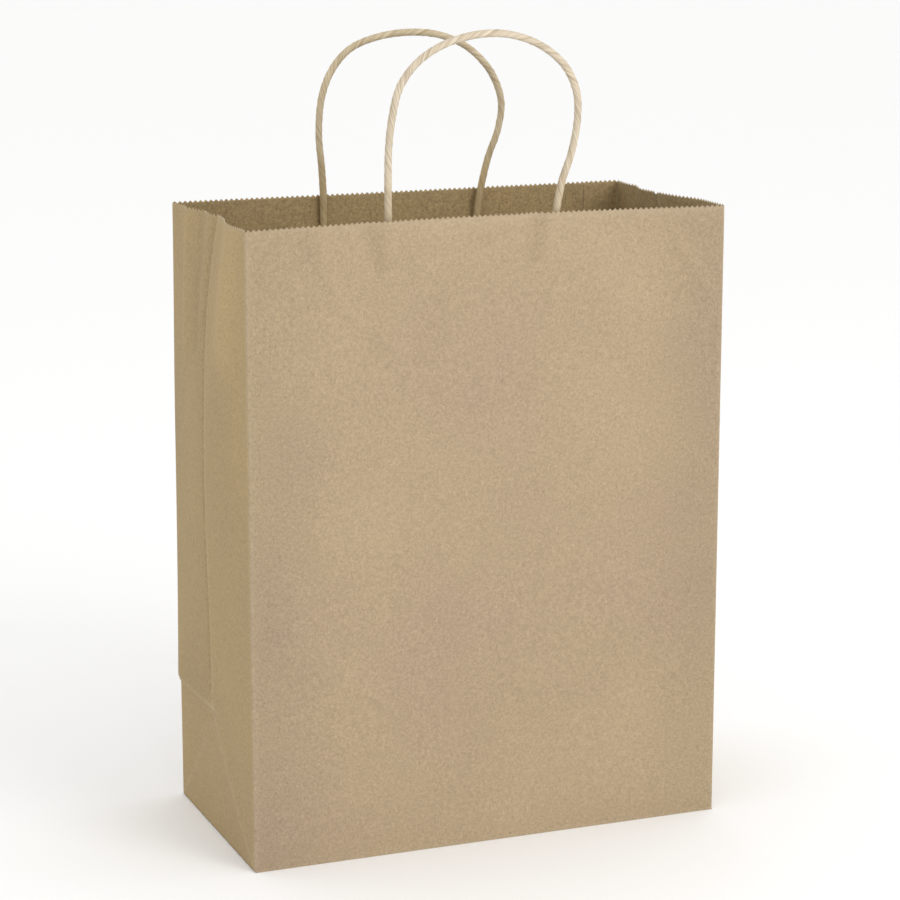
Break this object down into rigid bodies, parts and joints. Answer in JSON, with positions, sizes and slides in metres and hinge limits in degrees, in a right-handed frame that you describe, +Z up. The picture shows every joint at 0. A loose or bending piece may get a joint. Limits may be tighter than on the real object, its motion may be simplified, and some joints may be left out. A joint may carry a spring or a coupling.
{
  "type": "gift bag",
  "caption": "Upright kraft paper gift bag with pleated sides, a folded block bottom and a twisted paper cord handle on each broad side.",
  "frame": {"origin": "centre of the underside, on the surface that the bag stands on", "axes": "+Z up to the mouth, +X to the right seen from the front panel, +Y from the front panel to the back panel"},
  "size_m": [0.2546, 0.1288, 0.4127],
  "materials": {
    "panel_paper": "matte brown kraft",
    "side_paper": "matte brown kraft",
    "patch_paper": "matte brown kraft",
    "cord_paper": "matte twisted paper"
  },
  "bodies": {
    "back": {"back_panel": "panel_paper", "seam_lap": "panel_paper", "rear_handle_end_left": "cord_paper", "rear_handle_end_right": "cord_paper", "rear_patch_outer": "patch_paper", "rear_patch_inner": "patch_paper"},
    "left_rear": {"left_gusset_rear": "side_paper"},
    "left_front": {"left_gusset_front": "side_paper"},
    "front": {"front_panel": "panel_paper", "front_handle_end_left": "cord_paper", "front_handle_end_right": "cord_paper", "front_patch_outer": "patch_paper", "front_patch_inner": "patch_paper"},
    "right_rear": {"right_gusset_rear": "side_paper"},
    "right_front": {"right_gusset_front": "side_paper"},
    "rear_fold": {"back_panel_lower": "panel_paper", "seam_lap_lower": "panel_paper", "left_rear_triangle": "side_paper", "right_rear_triangle": "side_paper"},
    "bottom": {"bottom_front_flap": "panel_paper", "bottom_rear_flap": "panel_paper", "bottom_end_flap_left": "side_paper", "bottom_end_flap_right": "side_paper", "left_bottom_triangle": "side_paper", "right_bottom_triangle": "side_paper"},
    "front_handle": {"front_handle_loop": "cord_paper"},
    "rear_handle": {"rear_handle_loop": "cord_paper"}
  },
  "joints": [
    {"name": "fold", "type": "hinge", "parent": "back", "child": "left_rear", "pos_m": [-0.127, 0.0635, 0.19], "axis": [0, 0, 1], "range_deg": [0, 82]},
    {"name": "left_crease", "type": "hinge", "parent": "left_rear", "child": "left_front", "pos_m": [-0.1273, 0, 0.19], "axis": [0, 0, 1], "range_deg": [-164.2, 0.2]},
    {"name": "front_left_crease", "type": "hinge", "parent": "left_front", "child": "front", "pos_m": [-0.127, -0.0635, 0.16], "axis": [0, 0, 1], "range_deg": [-0.2, 82.2]},
    {"name": "right_rear_crease", "type": "hinge", "parent": "back", "child": "right_rear", "pos_m": [0.127, 0.0635, 0.19], "axis": [0, 0, 1], "range_deg": [-82.2, 0.2]},
    {"name": "right_crease", "type": "hinge", "parent": "right_rear", "child": "right_front", "pos_m": [0.1273, 0, 0.19], "axis": [0, 0, 1], "range_deg": [-0.2, 164.2]},
    {"name": "back_crease", "type": "hinge", "parent": "back", "child": "rear_fold", "pos_m": [0, 0.0644, 0.0644], "axis": [1, 0, 0], "range_deg": [-0.2, 141.42], "deforming": ["left_rear_triangle", "right_rear_triangle"]},
    {"name": "bottom_crease", "type": "hinge", "parent": "rear_fold", "child": "bottom", "pos_m": [0, 0.0641, 0.0009], "axis": [1, 0, 0], "range_deg": [-79.48, 0.2], "deforming": ["left_bottom_triangle", "right_bottom_triangle"]},
    {"name": "front_handle", "type": "hinge", "parent": "front", "child": "front_handle", "pos_m": [0, -0.0633, 0.3211], "axis": [1, 0, 0], "range_deg": [-2, 95]},
    {"name": "rear_handle", "type": "hinge", "parent": "back", "child": "rear_handle", "pos_m": [0, 0.0633, 0.3227], "axis": [-1, 0, 0], "range_deg": [-2, 95]}
  ],
  "couplings": [
    {"joint": "left_crease", "follows": "fold", "ratio": -2},
    {"joint": "front_left_crease", "follows": "fold", "ratio": 1},
    {"joint": "right_rear_crease", "follows": "fold", "ratio": -1},
    {"joint": "right_crease", "follows": "fold", "ratio": 2},
    {"joint": "back_crease", "follows": "fold", "ratio": 1.7222},
    {"joint": "bottom_crease", "follows": "fold", "ratio": -0.96681}
  ]
}
